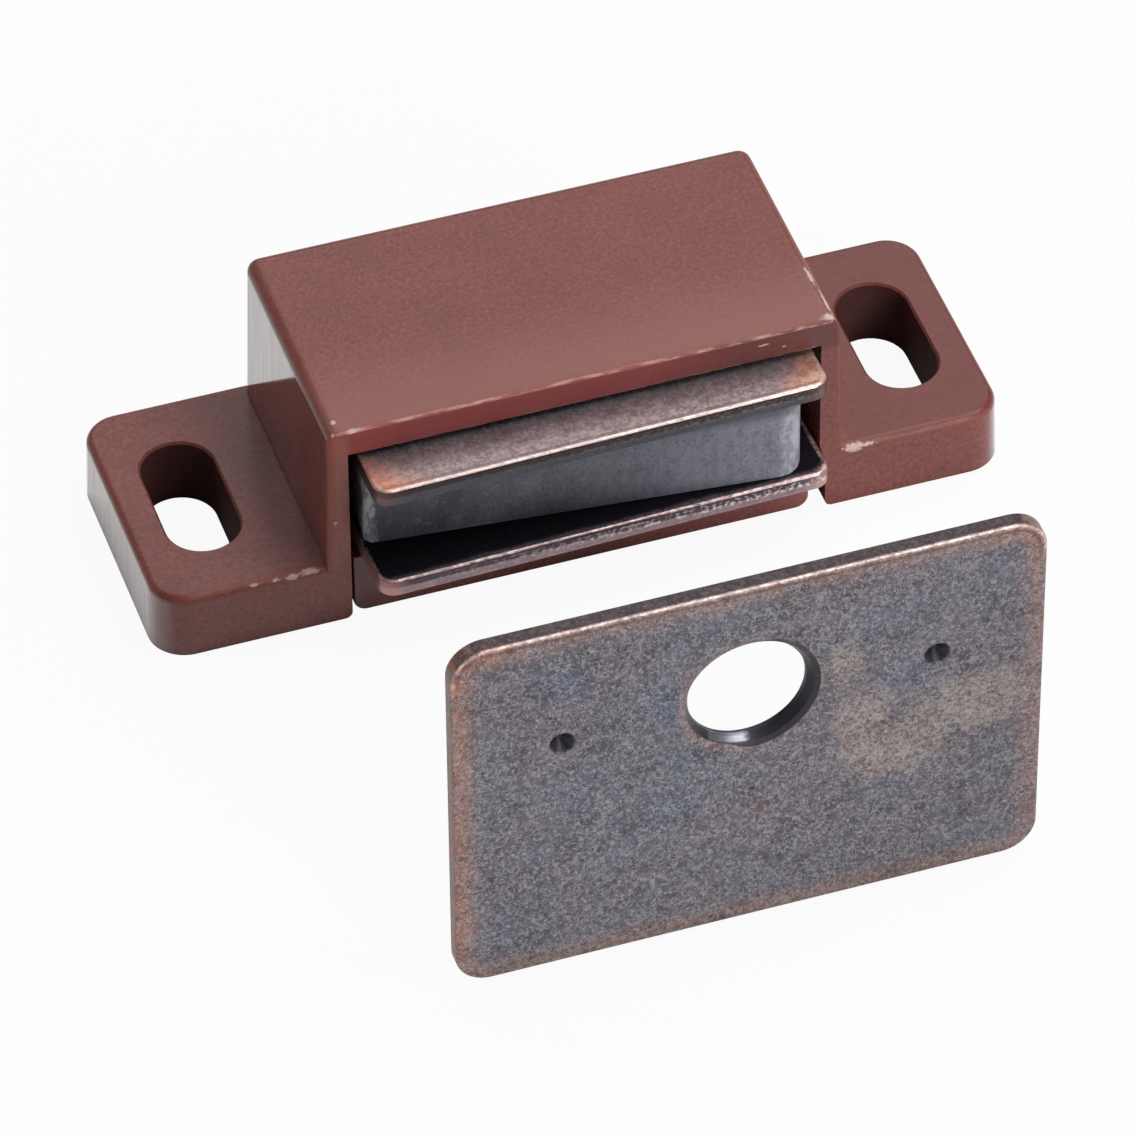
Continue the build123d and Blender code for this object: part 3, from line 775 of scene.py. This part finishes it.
ferriteLook = {
    "skew": -5.6,  # degrees that the magnet lies askew
    "mottle": {"size": 3.0, "detail": 4.0},
    "paler": {"mottle": 0.4, "across": 0.25, "band": (-0.04, 0.34)},  # painted light: paler towards the right
    "blotch": {"size": 0.8, "detail": 4.0, "crisp": 0.65},
    "blotched": {"tone": greys["dark"], "band": (0.45, 0.7), "share": 0.2},
    "grain": {"size": 0.2, "crisp": 0.7},
    "darkGrain": {"tone": greys["dark"], "band": (0.5, 0.7), "share": 0.5},
    "drawn": {"size": 0.5, "crisp": 0.6, "stretch": (1.0, 1.0, 0.25)},
    "streaked": {"tone": greys["dark"], "band": (0.45, 0.65), "share": 0.25},
    "scuffs": {"size": 0.45, "crisp": 0.65, "stretch": (1.0, 1.0, 0.35)},
    "ragged": 0.8,
    "chalkAndHighlight": {"tone": greys["chalkAndHighlight"], "left": (0.54, 0.9), "leftShare": 0.8, "right": (1.26, 1.8),
              "rightShare": 0.9, "band": (0.42, 0.6), "shares": (0.15, 0.9)},
    "chalkSpecks": {"tone": greys["chalkAndHighlight"], "mix": 0.6, "band": (0.36, 0.5), "share": 0.14},
    "grimeAndShadow": {"tone": greys["grimeAndShadow"], "sway": 1.5, "below": (0.2, 1.1), "share": 0.6},
    "roughness": 0.5,
    "roughnessSway": 0.2,
    "grainDepth": 0.008,
    "dentMix": 0.7,  # share of the grain in the dents
}


def ferrite(name, look):
    finish = Finish("ferrite")
    spot = finish.place()
    low, high = boxInMm(name)
    centre = (low + high) / 2
    turn = Quaternion((0, 0, 1), radians(-look["skew"]))
    half = max((turn @ (vertex.co * mmPerMetre - centre)).x for vertex in nodes[name].data.vertices)
    x, y, z = finish.parts(finish.turned(spot, centre, -look["skew"]))
    mottle, blotch, grain, drawn, scuffs = [finish.cloud(spot, look[key])
                                            for key in ("mottle", "blotch", "grain", "drawn", "scuffs")]
    across = (x - centre.x) * (1 / half)
    paler, chalkAndHighlight, specks, grimeAndShadow = [look[key] for key in ("paler", "chalkAndHighlight", "chalkSpecks", "grimeAndShadow")]
    # painted light: the magnet paler towards the right, over a random mottle
    litToRight = finish.rise(mottle * paler["mottle"] + across * paler["across"], paler["band"])
    colour = finish.blend(litToRight, greys["dark"], greys["litToRight"])
    for noise, key in ((blotch, "blotched"), (grain, "darkGrain"), (drawn, "streaked")):
        colour = finish.lay(finish.rise(noise, look[key]["band"]), look[key], colour)
    ragged = grain.sway(look["ragged"]) + blotch.sway(look["ragged"])
    # painted highlights down both rounded corners, with chalky scuffs
    left = finish.fall(x - (centre.x - half) + ragged, chalkAndHighlight["left"]) * chalkAndHighlight["leftShare"]
    right = finish.fall((centre.x + half) - x + ragged, chalkAndHighlight["right"]) * chalkAndHighlight["rightShare"]
    cornerChalkAndHighlight = left.most(right) * finish.rise(scuffs, chalkAndHighlight["band"]).within(chalkAndHighlight["shares"])
    colour = finish.blend(cornerChalkAndHighlight, colour, chalkAndHighlight["tone"])
    speckled = finish.fall(finish.mixed(grain, blotch, specks["mix"]), specks["band"])
    colour = finish.lay(speckled, specks, colour)
    # painted shadow under the upper plate, with grime
    grimeAndShadowBelow = finish.fall(high.z - z + ragged * grimeAndShadow["sway"], grimeAndShadow["below"])
    colour = finish.lay(grimeAndShadowBelow, grimeAndShadow, colour)
    finish.set({
        "Base Color": colour,
        "Roughness": grain.sway(look["roughnessSway"]) + look["roughness"],
        "Normal": finish.dents(finish.mixed(grain, blotch, look["dentMix"]), look["grainDepth"]),
    })
    finish.wear(name)


ferrite("magnet", ferriteLook)
print("magnet done")


studio = {
    "floorSize": 20.0,
    "floorDrop": 0.00001,
    "floorTint": (0.74, 0.74, 0.745, 1),
    "nookTint": (0.1, 0.1, 0.1, 1),  # painted shade: the floor's bounce under and within the object
    "floorWhite": 1.0,
    "seenShare": 0.94,  # how much of the floor's white the camera sees
    "mirrorShare": 0.8,  # and how much shows in the metal and the gloss
    "nookReach": 0.006,  # floor closer than this to the object is in a nook
    "nookBand": (0.42, 0.6),
    "nookSamples": 8,
    "worldTint": (1, 1, 1, 1),
    "worldStrength": 0.2,
    "lamps": [
        {"name": "frontLamp", "turn": 19.0, "height": 24.0, "away": 0.32, "size": 0.1, "power": 0.42},
        {"name": "topPanel", "turn": 70.0, "height": 64.0, "away": 0.5, "size": 0.26, "power": 1.2},
        {"name": "backPanel", "turn": 164.0, "height": 50.0, "away": 0.6, "size": 0.62, "power": 1.2},
    ],
}


def floor(look):
    half = look["floorSize"] / 2
    rim = [(-half, -half), (half, -half), (half, half), (-half, half)]
    sheet = bpy.data.meshes.new("floor")
    sheet.from_pydata([(x, y, -look["floorDrop"]) for x, y in rim], [], [(0, 1, 2, 3)])
    ground = bpy.data.objects.new("floor", sheet)
    bpy.context.collection.objects.link(ground)
    finish = Finish("floorWhite")
    finish.tree.nodes.remove(finish.shader)
    bright, nook = [finish.node("ShaderNodeBsdfDiffuse", {}, {"Color": look[key]})
                    for key in ("floorTint", "nookTint")]
    white = finish.node("ShaderNodeEmission", {}, {"Color": (1, 1, 1, 1), "Strength": look["floorWhite"]})
    seen, glossy, through = [finish.node("ShaderNodeLightPath", {}, {}, ray)
                             for ray in ("Is Camera Ray", "Is Glossy Ray", "Is Transmission Ray")]
    # painted shade: ambient occlusion darkens the floor's bounce and dims its white in reflections, in nooks
    openness = finish.node("ShaderNodeAmbientOcclusion", {"samples": look["nookSamples"]},
                           {"Distance": look["nookReach"]}, "AO")
    openness = finish.rise(openness, look["nookBand"])
    lit = finish.node("ShaderNodeMixShader", {}, {0: openness, 1: nook, 2: bright})
    mirrored = glossy.most(through) * openness * look["mirrorShare"]
    share = (seen * look["seenShare"]).most(mirrored)
    mixed = finish.node("ShaderNodeMixShader", {}, {0: share, 1: lit, 2: white})
    finish.join(finish.tree.nodes["Material Output"].inputs["Surface"], mixed)
    ground.data.materials.append(finish.material)


def towards(turn, height):  # the way from the object to a lamp or the camera, degrees round from the front
    around, up = radians(turn), radians(height)
    return Vector((sin(around) * cos(up), -cos(around) * cos(up), sin(up)))


def hang(look):
    lamp = bpy.data.lights.new(look["name"], "AREA")
    lamp.shape = "SQUARE"
    lamp.size = look["size"]
    lamp.energy = look["power"]
    holder = bpy.data.objects.new(look["name"], lamp)
    bpy.context.collection.objects.link(holder)
    way = towards(look["turn"], look["height"])
    holder.location = way * look["away"]
    holder.rotation_mode = "QUATERNION"
    holder.rotation_quaternion = way.to_track_quat("Z", "Y")


def sky(look):
    world = bpy.data.worlds.new("studio")
    world.use_nodes = True
    background = world.node_tree.nodes["Background"]
    background.inputs["Color"].default_value = look["worldTint"]
    background.inputs["Strength"].default_value = look["worldStrength"]
    bpy.context.scene.world = world


floor(studio)
for lampLook in studio["lamps"]:
    hang(lampLook)
sky(studio)

shot = {
    "turn": -18.09,
    "height": 43.62,
    "roll": -0.55,
    "distance": 0.5648,
    "aim": Vector((-0.00401, -0.01732, 0.008)),
    "lens": 281.9,
    "sensor": 36,
    "nearest": 0.05,
    "farthest": 50,
}


def camera(look):
    lens = bpy.data.cameras.new("camera")
    lens.sensor_width = look["sensor"]
    lens.lens = look["lens"]
    lens.clip_start = look["nearest"]
    lens.clip_end = look["farthest"]
    stand = bpy.data.objects.new("camera", lens)
    bpy.context.collection.objects.link(stand)
    way = towards(look["turn"], look["height"])
    stand.location = look["aim"] + way * look["distance"]
    stand.rotation_mode = "QUATERNION"
    stand.rotation_quaternion = way.to_track_quat("Z", "Y") @ Quaternion((0, 0, 1), radians(look["roll"]))
    bpy.context.scene.camera = stand


camera(shot)
bpy.context.scene.view_settings.view_transform = "Standard"
print("studio done")
